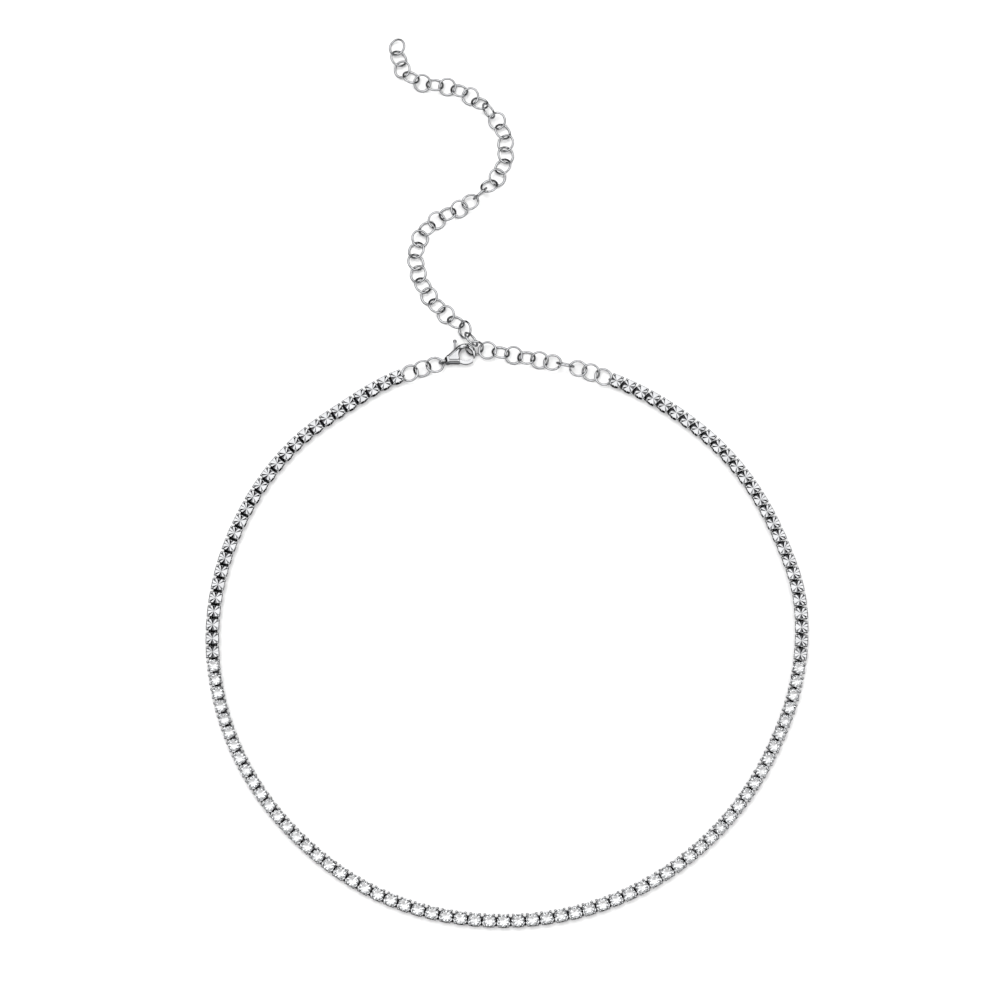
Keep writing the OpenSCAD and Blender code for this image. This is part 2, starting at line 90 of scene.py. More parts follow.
# The free tail's course from the hooked link, x and y to one scale
TAIL_COURSE = [
    (0, 0), (-0.005, 0.025), (-0.044, 0.065), (-0.085, 0.104), (-0.115, 0.152),
    (-0.13, 0.209), (-0.118, 0.265), (-0.078, 0.307), (-0.024, 0.335), (0.022, 0.373),
    (0.056, 0.417), (0.069, 0.473), (0.056, 0.528), (0.022, 0.57), (-0.016, 0.605),
    (-0.068, 0.626), (-0.121, 0.634), (-0.164, 0.667), (-0.176, 0.722),
]


TAIL_STEPS = 10


def run_of(points):
    """The way run along a line at each of its points."""
    return np.concatenate([[0], np.cumsum(np.hypot(*np.diff(points, axis=0).T))])


def unit_loop():
    """The loop for a radius of 1: a smooth curve through the rows of its course."""
    rows = len(LOOP_COURSE)

    def angle(k):
        return LOOP_COURSE[k % rows][0] + 360 * (k // rows)

    def share(k):
        return LOOP_COURSE[k % rows][1]

    def slope(k):
        return (share(k + 1) - share(k - 1)) / (angle(k + 1) - angle(k - 1))

    polar = []
    for k in range(rows):
        h = angle(k + 1) - angle(k)
        n = math.ceil(h - 1e-9)
        for i in range(n):
            t = i / n
            r = (2 * t**3 - 3 * t**2 + 1) * share(k) + (t**3 - 2 * t**2 + t) * h * slope(k)
            r += (3 * t**2 - 2 * t**3) * share(k + 1) + (t**3 - t**2) * h * slope(k + 1)
            polar.append((angle(k) + h * t, r))
    polar.append((angle(0), share(0)))
    a, r = np.radians([p[0] for p in polar]), np.array([p[1] for p in polar])
    return np.stack([r * np.cos(a), r * np.sin(a)], axis=1)


def unit_tail():
    """The tail's course as a smooth curve, in TAIL_STEPS steps from row to row."""
    course = [np.array(p, float) for p in TAIL_COURSE]
    course = [2 * course[0] - course[1]] + course + [2 * course[-1] - course[-2]]
    points = []
    for k in range(len(TAIL_COURSE) - 1):
        a, b, c, d = course[k : k + 4]
        for i in range(TAIL_STEPS):
            t = i / TAIL_STEPS
            points.append(
                (2 * b + (c - a) * t + (2 * a - 5 * b + 4 * c - d) * t**2
                 + (3 * b - a - 3 * c + d) * t**3) / 2
            )
    points.append(course[-2])
    return np.array(points)


LOOP = unit_loop()
LOOP_RUN = run_of(LOOP)
HOOKED_S = (SETTINGS - 1) * PITCH + END_EYE_X + LINK_R + HOOKED * LINK_PITCH
CLASP_EYE_S = HOOKED_S + np.linalg.norm(HOOKED_C)
FIRST_RING_S = CLASP_EYE_S + EYE_GAP
LOOP_LENGTH = FIRST_RING_S + (len(RING_LEAN) - 1) * LINK_PITCH + LINK_R + END_EYE_X
LOOP_RADIUS = LOOP_LENGTH / LOOP_RUN[-1]
TAIL = unit_tail()
TAIL_RUN = run_of(TAIL)
TAIL_SCALE = (TAIL_FIRST + (LINKS - 2 - HOOKED) * TAIL_PITCH) / TAIL_RUN[-1]


def loop_at(s):
    u = (s + LOOP_LENGTH if s < 0 else s) / LOOP_RADIUS
    return LOOP_RADIUS * np.array([np.interp(u, LOOP_RUN, LOOP[:, k]) for k in (0, 1)])


def tail_at(s):
    u = s / TAIL_SCALE
    return loop_at(HOOKED_S) + TAIL_SCALE * np.array(
        [np.interp(u, TAIL_RUN, TAIL[:, k]) for k in (0, 1)]
    )


def heading(a, b):
    return math.degrees(math.atan2(b[1] - a[1], b[0] - a[0]))


def turned(axis, degrees):
    return np.array(Matrix.Rotation(math.radians(degrees), 4, axis))


def moved(x, y, z=0.0):
    return np.array(Matrix.Translation((x, y, z)))


def placed(points, matrix):
    return np.array(points) @ matrix[:3, :3].T + matrix[:3, 3]


def setting_place(i):
    a, b = loop_at((i - 0.5) * PITCH), loop_at((i + 0.5) * PITCH)
    return moved(*((a + b) / 2)) @ turned("Z", heading(a, b))


CLASP_EYE = loop_at(CLASP_EYE_S)
CLASP_TURN = heading(CLASP_EYE, loop_at(HOOKED_S)) - heading((0, 0), HOOKED_C)
AT_CLASP = moved(*CLASP_EYE) @ turned("Z", CLASP_TURN)


def link_centre(j):
    if j <= HOOKED:
        return loop_at(HOOKED_S + (j - HOOKED) * LINK_PITCH)
    return tail_at(TAIL_FIRST + (j - HOOKED - 1) * TAIL_PITCH)


def link_lean(j):
    side = (1 if j % 2 == 0 else -1) * (1 if j <= HOOKED or j >= TAIL_SWAP else -1)
    return OWN_LEAN.get(j, LEAN * side)


def rest_z(lean):
    return LINK_R * math.sin(math.radians(abs(lean))) + WIRE_R


def crossing_z(a, b):
    return min(STACK_Z, max(rest_z(a), rest_z(b)))


def link_matrix(x, y, z, turn, rise, lean):
    return moved(x, y, z) @ turned("Z", turn) @ turned("Y", -rise) @ turned("X", lean)


def lying(c, turn, z0, z1, lean):
    """A link that rises from one crossing to the next, or stands on its own wire."""
    if abs(lean) >= STANDING:
        return link_matrix(c[0], c[1], rest_z(lean), turn, 0, lean)
    rise = math.degrees(math.asin((z1 - z0) / (2 * LINK_R - 2 * CROSSING_IN)))
    return link_matrix(c[0], c[1], (z0 + z1) / 2, turn, rise, lean)


def link_place(j):
    if j == HOOKED:
        at = AT_CLASP @ moved(*HOOKED_C, rest_z(HOOKED_LEAN))
        return at @ turned("Z", HOOKED_TURN + 180) @ turned("X", HOOKED_LEAN)
    c = link_centre(j)
    if j in BESIDE_HOOK:
        dx, dy, z, turn, rise, lean = BESIDE_HOOK[j]
        return link_matrix(c[0] + dx, c[1] + dy, z, turn, rise, lean)
    before = link_centre(j - 1) if j else loop_at((SETTINGS - 1) * PITCH)
    after = link_centre(j + 1) if j < LINKS - 1 else 2 * c - link_centre(j - 1)
    z0 = crossing_z(link_lean(j - 1), link_lean(j)) if j else END_EYE_Z
    z1 = crossing_z(link_lean(j), link_lean(j + 1))
    return lying(c, heading(before, after), z0, z1, link_lean(j))


def ring_place(k):
    s = FIRST_RING_S + k * LINK_PITCH
    turn = heading(loop_at(s - LINK_R), loop_at(s + LINK_R))
    lean = RING_LEAN[k]
    z0 = crossing_z(RING_LEAN[k - 1], lean) if k else CLASP_EYE_Z
    last = len(RING_LEAN) - 1
    z1 = crossing_z(lean, RING_LEAN[k + 1]) if k < last else END_EYE_Z
    return lying(loop_at(s), turn, z0, z1, lean)


# Mesh code


def add_object(name, data):
    obj = bpy.data.objects.new(name, data)
    bpy.context.scene.collection.objects.link(obj)
    return obj


class Shape:
    """Vertices and faces in millimetres, with a material number and a smooth flag per face."""

    def __init__(self):
        self.verts, self.faces, self.mats, self.smooth = [], [], [], []

    def extend(self, verts, faces, mats, smooth):
        start = len(self.verts)
        self.verts.extend(np.asarray(verts, float).tolist())
        self.faces.extend([tuple(start + i for i in f) for f in faces])
        self.mats.extend(mats)
        self.smooth.extend(smooth)

    def add(self, verts, faces, mat=0, smooth=True):
        self.extend(verts, faces, [mat] * len(faces), [smooth] * len(faces))

    def stamp(self, other, matrix):
        self.extend(placed(other.verts, matrix), other.faces, other.mats, other.smooth)

    def piece(self, name, materials):
        mesh = bpy.data.meshes.new(name)
        mesh.from_pydata((np.array(self.verts) * MM).tolist(), [], self.faces)
        mesh.polygons.foreach_set("material_index", self.mats)
        mesh.polygons.foreach_set("use_smooth", self.smooth)
        mesh.update()
        for material in materials:
            mesh.materials.append(material)
        return add_object(name, mesh)


def strips(rows, n, closed=False):
    """Quads between neighbouring rows of n points; the last row joins the first if closed."""
    faces = []
    for r in range(rows if closed else rows - 1):
        a, b = r * n, (r + 1) % rows * n
        for i in range(n):
            j = (i + 1) % n
            faces.append((a + i, a + j, b + j, b + i))
    return faces


def add_sweep(shape, path, radii, sides=12, closed=False, mat=0):
    """A round bar along a path, with its radius at each point."""
    path = np.array(path, float)
    n = len(path)
    if closed:
        tangents = np.roll(path, -1, axis=0) - np.roll(path, 1, axis=0)
    else:
        tangents = np.gradient(path, axis=0)
    tangents /= np.linalg.norm(tangents, axis=1)[:, None]
    side = np.cross(tangents[0], (0, 0, 1))
    if np.linalg.norm(side) < 1e-6:
        side = np.cross(tangents[0], (0, 1, 0))
    verts = []
    for k in range(n):
        side = side - tangents[k] * (side @ tangents[k])
        side /= np.linalg.norm(side)
        up = np.cross(side, tangents[k])
        for i in range(sides):
            a = 2 * math.pi * i / sides
            verts.append(path[k] + radii[k] * (math.cos(a) * side + math.sin(a) * up))
    faces = strips(n, sides, closed)
    if not closed:
        faces.append(tuple(range(sides))[::-1])
        faces.append(tuple(range((n - 1) * sides, n * sides)))
    shape.add(verts, faces, mat)


EDGE_SHARE, ROUND_STEPS = 1 / 2.2, 2


def rounded_outline(points, radius):
    """A closed polygon with its corners rounded, each within EDGE_SHARE of its two edges."""
    points = [np.array(p, float) for p in points]
    out = []
    for k, p in enumerate(points):
        a = points[k - 1] - p
        b = points[(k + 1) % len(points)] - p
        reach = min(radius, np.linalg.norm(a) * EDGE_SHARE, np.linalg.norm(b) * EDGE_SHARE)
        start, end = p + a / np.linalg.norm(a) * reach, p + b / np.linalg.norm(b) * reach
        for i in range(ROUND_STEPS + 1):
            t = i / ROUND_STEPS
            out.append((1 - t) ** 2 * start + 2 * t * (1 - t) * p + t * t * end)
    return np.array(out)


def arc(radius, a):
    return radius * np.stack([np.cos(a), np.sin(a)], axis=1)


def circle(radius, n, start=0.0):
    return arc(radius, start + np.linspace(0, 2 * math.pi, n, endpoint=False))


def inset(outline, distance):
    """The outline moved inwards, for a bevelled edge."""
    ahead = np.roll(outline, -1, axis=0) - np.roll(outline, 1, axis=0)
    normal = np.stack([-ahead[:, 1], ahead[:, 0]], axis=1)
    return outline + distance * normal / np.linalg.norm(normal, axis=1)[:, None]


def add_plate(shape, outline, z0, z1, bevel, hole=None, matrix=None, mat=0):
    """A flat plate with bevelled edges, and a hole with as many points as its outline."""
    levels = [(bevel, z0), (0, z0 + bevel), (0, z1 - bevel), (bevel, z1)]
    rows = [np.c_[inset(outline, d), np.full(len(outline), z)] for d, z in levels]
    if hole is not None:
        rows += [np.c_[inset(hole, -d), np.full(len(hole), z)] for d, z in reversed(levels)]
    verts = np.concatenate(rows)
    if matrix is not None:
        verts = placed(verts, matrix)
    n = len(outline)
    faces = strips(len(rows), n, hole is not None)
    if hole is None:
        faces.append(tuple(range(n))[::-1])
        faces.append(tuple(range(3 * n, 4 * n)))
    shape.add(verts, faces, mat, smooth=False)


def add_bead(shape, centre, radius, mat=0, rings=10, sides=16):
    verts = []
    for k in range(1, rings):
        a = math.pi * k / rings - math.pi / 2
        for x, y in circle(radius * math.cos(a), sides):
            verts.append((centre[0] + x, centre[1] + y, centre[2] + radius * math.sin(a)))
    faces = strips(rings - 1, sides)
    low, high = len(verts), len(verts) + 1
    verts += [(centre[0], centre[1], centre[2] + z) for z in (-radius, radius)]
    top = (rings - 2) * sides
    for i in range(sides):
        j = (i + 1) % sides
        faces += [(i, low, j), (top + i, top + j, high)]
    shape.add(verts, faces, mat)


# Edges and small details of the settings, which the part's source has sharp or plain
UPRIGHT = turned("X", 90)
BASE_BEVEL, BASE_ROUND, HINGE_BEVEL, STEM_ROUND, EAR_ROUND = 0.05, 0.08, 0.04, 0.03, 0.12
HINGE_SIDES, END_EYE_SIDES = 20, 32
BAR_TIP, BAR_TIP_R = 0.03, 0.07
STEM_BASE, STEM_EYE = (-BASE_L / 2 + 0.1, 0.42), (-PITCH / 2 + EYE_OUT_R - 0.06, 0.6)
STEM_Z, EAR_BACK, EAR_NOSE = 0.13, BASE_L / 2 - 0.15, PITCH / 2 + EAR_R - 0.04


def foot(eye=True, ears=True, end_side=0, metal_no=0, painted_shade_no=1):
    """Base plate, hinge halves painted near-black as the shade between settings, and end eye of one
    setting.
    """
    shape = Shape()
    x, y, c = BASE_L / 2, BASE_W / 2, BASE_CUT
    corners = [
        (x, c - y), (x, y - c), (x - c, y), (c - x, y), (-x, y - c), (-x, c - y),
        (c - x, -y), (x - c, -y),
    ]
    outline = rounded_outline(corners, BASE_ROUND)
    hole = arc(HOLE_R, np.arctan2(outline[:, 1], outline[:, 0]))
    add_plate(shape, outline, 0, BASE_T, BASE_BEVEL, hole, mat=metal_no)

    # The hinge plates and the bar take the near-black painted-shade material
    def hinge_plate(outline, x0, z0, y1, width, hole=None):
        at = moved(x0, y1, z0) @ UPRIGHT
        add_plate(shape, outline, 0, width, HINGE_BEVEL, hole, at, painted_shade_no)

    if eye:
        barrel, bore = (circle(r, HINGE_SIDES) for r in (EYE_OUT_R, EYE_OUT_R - EYE_WIRE))
        hinge_plate(barrel, -PITCH / 2, BAR_Z, EYE_W / 2, EYE_W, bore)
        stem = [(STEM_EYE[0], STEM_Z), (STEM_BASE[0], STEM_Z), STEM_BASE, STEM_EYE]
        hinge_plate(rounded_outline(stem, STEM_ROUND), 0, 0, EYE_W / 2, EYE_W)
    if ears:
        ear = rounded_outline([
            (EAR_BACK, 0.1), (PITCH / 2 - 0.05, BAR_Z - EAR_R), (EAR_NOSE, BAR_Z - 0.1),
            (EAR_NOSE, BAR_Z + 0.1), (PITCH / 2, BAR_Z + EAR_R), (EAR_BACK, BAR_Z + 0.12),
        ], EAR_ROUND)
        reach = EAR_IN + EAR_W
        for y1 in (-EAR_IN, reach):
            hinge_plate(ear, 0, 0, y1, EAR_W)
        bar = [(PITCH / 2, y, BAR_Z) for y in (-reach - BAR_TIP, -reach, 0, reach, reach + BAR_TIP)]
        add_sweep(shape, bar, [BAR_TIP_R, BAR_R, BAR_R, BAR_R, BAR_TIP_R], mat=painted_shade_no)
    if end_side:
        ring = [
            (end_side * END_EYE_X + px, 0, END_EYE_Z + pz)
            for px, pz in circle(END_EYE_R, END_EYE_SIDES)
        ]
        radii = [END_EYE_WIRE / 2] * END_EYE_SIDES
        add_sweep(shape, ring, radii, closed=True, mat=metal_no)
    return shape


# Points of the claw in the corner of +x and +y: on the base, beside the girdle, and its bead
CORNERS = [np.array([sx, sy, 1.0]) for sx in (-1, 1) for sy in (-1, 1)]
CLAW_STEPS = np.linspace(0, 1, 6)
CLAW_FOOT = np.array([BASE_L / 2 - CLAW_R - 0.1, BASE_W / 2 - CLAW_R - 0.06, 0.12])
CLAW_WAY = np.array([math.cos(math.radians(CLAW_TURN)), math.sin(math.radians(CLAW_TURN))])
CLAW_TOP = np.array([*(STONE_R + STONE_GAP + CLAW_R) * CLAW_WAY, GIRDLE_Z + 0.05])
CLAW_BEAD = np.array([*(STONE_R + 0.12) * CLAW_WAY, 1.734])
# The claw's bend below its bead: share of the way, step outwards, and the last two thicknesses
BEND_AT, BEND_OUT, BEND_THICK = 0.45, 0.012, (1.08, 1.05)
# Gallery strips: radii and heights, each one's first angle and material, and their span.
# Material 1 is the near-black metal that paints shade on the strips inside the neck's curve
GALLERY_R = STONE_R + 0.16, STONE_R - 0.02
GALLERY_Z = GIRDLE_Z - 0.16, GIRDLE_Z - 0.04
GALLERY, GALLERY_SPAN, GALLERY_BEVEL = ((-62, 0), (-164, 0), (16, 1), (118, 1)), 46, 0.015


def claw_setting():
    """Four claws that splay from the base and lean on the stone's crown, and a flat gallery
    strip from each claw along the girdle: bright outside, near-black painted shade inside the
    neck's curve."""
    # The base plate and the hinges both take the near-black metal: painted shade under the stone
    # and between settings
    shape = foot(metal_no=1)
    for start, mat in GALLERY:
        a = np.radians(np.linspace(start, start + GALLERY_SPAN, 6))
        outline = np.concatenate([arc(GALLERY_R[0], a), arc(GALLERY_R[1], a[::-1])])
        add_plate(shape, outline, *GALLERY_Z, GALLERY_BEVEL, mat=mat)
    taper = 1.12 + 0.35 * (1 - CLAW_STEPS) ** 3 - 0.08 * np.sin(math.pi * CLAW_STEPS)
    for corner in CORNERS:
        low, high, bead = corner * CLAW_FOOT, corner * CLAW_TOP, corner * CLAW_BEAD
        path = [low + (high - low) * t for t in CLAW_STEPS]
        path.append(high + (bead - high) * BEND_AT + corner * (1, 1, 0) * BEND_OUT)
        path.append(bead)
        add_sweep(shape, path, CLAW_R * np.array([*taper, *BEND_THICK]))
        add_bead(shape, bead, BEAD_R, rings=8, sides=14)
    return shape


# The star's height at its petals, its rim's bevel, and half the width and the tilt of its cuts
# along the band, at the corners and across it
PETAL_Z, RIM_BEVEL, RIM_FALL, RIM_LOW = 0.66, 0.12, 0.02, 0.08
CUT_HALF, CUT_TILT = (0.36, 0.27, 0.14), (38, 38, 15)


def star_head():
    """Eight bright petals that rise from the middle, with a V cut between neighbours and a
    bevelled rim. The cuts have their own widths along the band, at the corners and across it."""
    shape = Shape()
    (x, y), (c, d, e) = HEAD_TOP - RIM_BEVEL, CUT_HALF
    along, corner, across = (
        PETAL_Z - half * math.tan(math.radians(tilt)) for half, tilt in zip(CUT_HALF, CUT_TILT)
    )
    # One quarter of the rim: half a side cut, a petal, the corner cut, a petal, half a cut
    quarter = [
        (x, 0, along), (x, c, PETAL_Z), (x, y - d, PETAL_Z), (x, y, corner), (x - d, y, PETAL_Z),
        (e, y, PETAL_Z),
    ]
    rim = []
    for sx, sy in ((1, 1), (-1, 1), (-1, -1), (1, -1)):
        part = [(sx * px, sy * py, z) for px, py, z in quarter + [(0, y, across)]]
        rim += part[:-1] if sx == sy else part[:0:-1]
    out, low = HEAD_TOP / (x, y), (HEAD_TOP - HEAD_TAPER) / (x, y)
    top = PETAL_Z - RIM_LOW
    edge = [(px * out[0], py * out[1], min(z, top) - RIM_FALL) for px, py, z in rim]
    foot_rim = [(px * low[0], py * low[1], 0) for px, py, _ in rim]
    n = len(rim)
    points = np.array([(0, 0, HEAD_MID)] + rim + edge + foot_rim, float) + [0, 0, HEAD_Z]
    ring = [(1 + i, 1 + (i + 1) % n) for i in range(n)]
    shape.add(points, [(0, i, j) for i, j in ring], 0, False)
    bevel = [(i, i + n, j + n, j) for i, j in ring]
    walls = [(i + n, i + 2 * n, j + 2 * n, j + n) for i, j in ring]
    shape.add(points, bevel + walls + [tuple(range(3 * n, 2 * n, -1))], 1, False)
    return shape


HEAD_BEAD_XY = HEAD_TOP - BEAD_R - 0.02
HEAD_BEAD = np.array([*HEAD_BEAD_XY, HEAD_Z + HEAD_RIDGE - 0.05])
HEAD_CLAW = np.array([*HEAD_BEAD_XY, HEAD_Z + 0.1])


def mirror_link(eye=True, ears=True, end_side=0):
    """A solid link: foot, mirror-cut head, and four claws with beads that only look like claws."""
    # Material 2 is the near-black metal: the hinge halves and bar carry painted shade between the
    # links
    shape = foot(eye, ears, end_side, 1, 2)
    shape.stamp(star_head(), np.eye(4))
    for corner in CORNERS:
        low, high = corner * CLAW_FOOT, corner * HEAD_CLAW
        path = [low + (high - low) * t for t in CLAW_STEPS]
        add_sweep(shape, path, [CLAW_R * 1.1] + [CLAW_R] * (len(path) - 1), mat=1)
        add_bead(shape, corner * HEAD_BEAD, BEAD_R, mat=1)
    return shape


STAR_SHARE, HALF_SHARE, GIRDLE_T = 0.44, 0.25, 0.03


def brilliant():
    """A round brilliant: table, stars, kites, upper and lower halves, mains."""
    star_r, half_r = TABLE_R + STAR_SHARE * (STONE_R - TABLE_R), HALF_SHARE * STONE_R
    fall = CROWN_H / (STONE_R - TABLE_R)
    star_z = fall * (STONE_R - star_r * math.cos(math.pi / 8))
    depth = PAVILION_H - GIRDLE_T
    half_z = -PAVILION_H + depth * half_r * math.cos(math.pi / 8) / STONE_R
    verts = []
    for radius, z, n, start in (
        (TABLE_R, CROWN_H, 8, 0), (star_r, star_z, 8, math.pi / 8), (STONE_R, 0, 16, 0),
        (STONE_R, -GIRDLE_T, 16, 0), (half_r, half_z, 8, math.pi / 8),
    ):
        verts += [(x, y, GIRDLE_Z + z) for x, y in circle(radius, n, start)]
    verts.append((0, 0, GIRDLE_Z - PAVILION_H))
    table, star, upper, lower, half, culet = 0, 8, 16, 32, 48, 56
    faces = [tuple(range(8))]
    for k in range(8):
        m = (k + 1) % 8
        g, h, e = 2 * k, 2 * k + 1, (2 * k + 2) % 16
        faces += [
            (table + k, star + k, table + m),
            (table + k, star + (k - 1) % 8, upper + g, star + k),
            (star + k, upper + g, upper + h),
            (star + k, upper + h, upper + e),
            (upper + g, lower + g, lower + h, upper + h),
            (upper + h, lower + h, lower + e, upper + e),
            (lower + g, half + k, lower + h),
            (lower + h, half + k, lower + e),
            (lower + g, half + (k - 1) % 8, culet, half + k),
        ]
    shape = Shape()
    shape.add(verts, faces, 0, False)
    return shape


WIRE_STEPS, WIRE_SIDES = 56, 14
SEAM_SWELL, SEAM_REACH, WIRE_TRIM = 0.03, 0.09, 0.004


def wire_link(seam):
    """A round link with the slight swell of its soldered joint at an angle."""
    shape = Shape()
    path, radii = [], []
    for i in range(WIRE_STEPS):
        a = 2 * math.pi * i / WIRE_STEPS
        off = abs((a - seam + math.pi) % (2 * math.pi) - math.pi)
        path.append((LINK_R * math.cos(a), LINK_R * math.sin(a), 0))
        swell = SEAM_SWELL * math.exp(-((off / SEAM_REACH) ** 2))
        radii.append(WIRE_R * (1 + swell) - WIRE_TRIM)
    add_sweep(shape, path, radii, WIRE_SIDES, closed=True)
    return shape


# Materials


def nodes_of(material):
    material.use_nodes = True
    tree = material.node_tree
    return tree, tree.nodes["Principled BSDF"]


def noise_ramp(tree, scale, low, high, detail=4.0):
    """Fine noise in object space, ramped between two colours or two greys."""
    where = tree.nodes.new("ShaderNodeTexCoord")
    noise = tree.nodes.new("ShaderNodeTexNoise")
    noise.inputs["Scale"].default_value = scale
    noise.inputs["Detail"].default_value = detail
    tree.links.new(where.outputs["Object"], noise.inputs["Vector"])
    ramp = tree.nodes.new("ShaderNodeValToRGB")
    ends = ((0.35, low), (0.65, high))
    for element, (at, colour) in zip(ramp.color_ramp.elements, ends):
        element.position = at
        element.color = (*colour, 1) if isinstance(colour, tuple) else (colour,) * 3 + (1,)
    tree.links.new(noise.outputs["Fac"], ramp.inputs["Fac"])
    return noise, ramp


EDGE_TINT = (0.05, 0.05, 0.055, 1)
BUMP_DEPTH = 0.00002
GEM_IOR = 2.2


def metal(name, dark, light, rough, grain=9000.0, bump=0.02):
    """Polished white metal with slight colour clouds, polishing grain and a soft bump."""
    material = bpy.data.materials.new(name)
    tree, shader = nodes_of(material)
    shader.inputs["Metallic"].default_value = 1.0
    shader.inputs["Specular Tint"].default_value = EDGE_TINT
    _, colour = noise_ramp(tree, 700.0, dark, light)
    tree.links.new(colour.outputs["Color"], shader.inputs["Base Color"])
    fine, polish = noise_ramp(tree, grain, *rough, 6.0)
    tree.links.new(polish.outputs["Color"], shader.inputs["Roughness"])
    height = tree.nodes.new("ShaderNodeBump")
    height.inputs["Strength"].default_value = bump
    height.inputs["Distance"].default_value = BUMP_DEPTH
    tree.links.new(fine.outputs["Fac"], height.inputs["Height"])
    tree.links.new(height.outputs["Normal"], shader.inputs["Normal"])
    return material


def gem(name):
    """Clear stone. The base colour tints light once on its way in and once on its way out."""
    material = bpy.data.materials.new(name)
    tree, shader = nodes_of(material)
    shader.inputs["Transmission Weight"].default_value = 1.0
    shader.inputs["IOR"].default_value = GEM_IOR
    _, tint = noise_ramp(tree, 900.0, (0.19, 0.193, 0.197), (0.23, 0.233, 0.237))
    tree.links.new(tint.outputs["Color"], shader.inputs["Base Color"])
    _, polish = noise_ramp(tree, 20000.0, 0.0, 0.02)
    tree.links.new(polish.outputs["Color"], shader.inputs["Roughness"])
    return material


RHODIUM = metal("rhodium_casting", (0.3, 0.303, 0.31), (0.35, 0.353, 0.36), (0.05, 0.11))
# A near-black copy of the rhodium: painted shade on the hinges, the stone settings' bases and the
# gallery strips inside the neck's curve
SHADE_PAINTED_RHODIUM = metal("rhodium_painted_shade", (0.012, 0.012, 0.013), (0.024, 0.024, 0.026), (0.2, 0.35))
FACET = metal("mirror_facet", (0.28, 0.282, 0.288), (0.33, 0.332, 0.338), (0.02, 0.05), bump=0.01)
KNOB = metal("satin_lever", (0.13, 0.13, 0.135), (0.18, 0.18, 0.185), (0.25, 0.35), 7000.0)
WIRE = metal("drawn_wire", (0.27, 0.273, 0.28), (0.32, 0.323, 0.33), (0.05, 0.1), 12000.0)
CAST = metal("polished_clasp", (0.27, 0.272, 0.278), (0.32, 0.322, 0.328), (0.04, 0.09), 7000.0)
STONE = gem("clear_brilliant")


def finish_piece(obj, body, node):
    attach(obj, body)
    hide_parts(node)


def make_mirror_links(name, node, first):
    shape = Shape()
    plain = mirror_link()
    for i in range(first, first + SIDE):
        link = plain
        if i == 0:
            link = mirror_link(eye=False, end_side=-1)
        elif i == SETTINGS - 1:
            link = mirror_link(ears=False, end_side=1)
        shape.stamp(link, setting_place(i))
    obj = shape.piece(name, [FACET, RHODIUM, SHADE_PAINTED_RHODIUM])
    finish_piece(obj, "necklace", node)


# How far the stones tilt and turn in their seats, in degrees, and how fast the tilt changes
# from stone to stone. A stone looks the same again after TURN_PERIOD.
STONE_TILT, TILT_X_STEP, TILT_Y_STEP = 2.5, 2.3, 1.7
STONE_TURN, TURN_PERIOD = 37.0, 45


def make_stone_row():
    settings, stones = Shape(), Shape()
    one_setting, one_stone = claw_setting(), brilliant()
    for i in range(SIDE, SIDE + STONES):
        settings.stamp(one_setting, setting_place(i))
        seat = setting_place(i) @ moved(0, 0, GIRDLE_Z)
        seat = seat @ turned("X", STONE_TILT * math.sin(TILT_X_STEP * i))
        seat = seat @ turned("Y", STONE_TILT * math.cos(TILT_Y_STEP * i))
        seat = seat @ moved(0, 0, -GIRDLE_Z) @ turned("Z", STONE_TURN * i % TURN_PERIOD)
        stones.stamp(one_stone, seat)
    obj = settings.piece("claw_settings", [RHODIUM, SHADE_PAINTED_RHODIUM])
    finish_piece(obj, "necklace", "front_settings")
    finish_piece(stones.piece("brilliants", [STONE]), "necklace", "stones")


def make_wire_links(name, node, places, first_seam, seam_step):
    shape = Shape()
    for k, place in enumerate(places):
        shape.stamp(wire_link(first_seam + seam_step * k), place)
    finish_piece(shape.piece(name, [WIRE]), "necklace", node)


make_mirror_links("mirror_links_left", "left_links", 0)
make_mirror_links("mirror_links_right", "right_links", SIDE + STONES)
make_stone_row()
make_wire_links("extender_links", "extender_chain", map(link_place, range(LINKS)), 0, 2.1)
make_wire_links("end_links", "end_rings", map(ring_place, range(len(RING_LEAN))), 1.3, 1)


# The clasp's plan, in its own axes as in the part's source
NECK, NECK_R = np.array([0.5, 0.0]), 0.45
HOOK_X, HOOK_R, HOOK_OUT_R, BAND_Z = 4.4, 1.24, 1.92, 1.11
HOOK_C, HOOK_OUT_C = np.array([HOOK_X, 0.4]), np.array([HOOK_X, 0.6])
GATE_Y, NOSE_Y, FORK_X = -0.35, -0.75, HOOK_X - 1.4
# The flat rim round the lever's slot, and the radii of the rounded edges above it
RIM_HALF, OUTER_ROUND, BAND_ROUND, CUT_ROUND = 0.38, 0.7, 0.42, 0.14
HOOK_RIM, WEB_SINK, STEM_FROM, CUT_SLACK, PAST_END = 0.06, 0.3, 1.9, 0.02, 5
# Where one form runs into the next along the clasp: its neck, the sunken web and the hook; and
# how far in from the outline the web starts
NECK_RUN, WEB_RUN, HOOK_RUN, WEB_IN = (0.75, 1.3), (0.9, 1.5), (3.3, 4.0), (0.42, 0.62)
# Voxel size and smoothing passes of the body and of the lever
BODY_FINENESS, LEVER_FINENESS = (0.045, 5), (0.04, 4)


def ease(low, high, x):
    """0 up to low, 1 from high on, and a smooth step between them."""
    t = np.clip((x - low) / (high - low), 0, 1)
    return t * t * (3 - 2 * t)


def in_from_outline(p):
    """How far a point of the plan lies inside the hull of the neck's and the hook's circles."""
    along = (HOOK_OUT_C - NECK) / np.linalg.norm(HOOK_OUT_C - NECK)
    length = np.linalg.norm(HOOK_OUT_C - NECK)
    q = p - NECK
    y, x = q @ along, np.abs(q @ np.array([-along[1], along[0]]))
    b = (NECK_R - HOOK_OUT_R) / length
    a = math.sqrt(1 - b * b)
    k = -b * x + a * y
    side = x * a + y * b - NECK_R
    near = np.hypot(x, y) - NECK_R
    far = np.hypot(x, y - length) - HOOK_OUT_R
    return -np.where(k < 0, near, np.where(k > a * length, far, side))


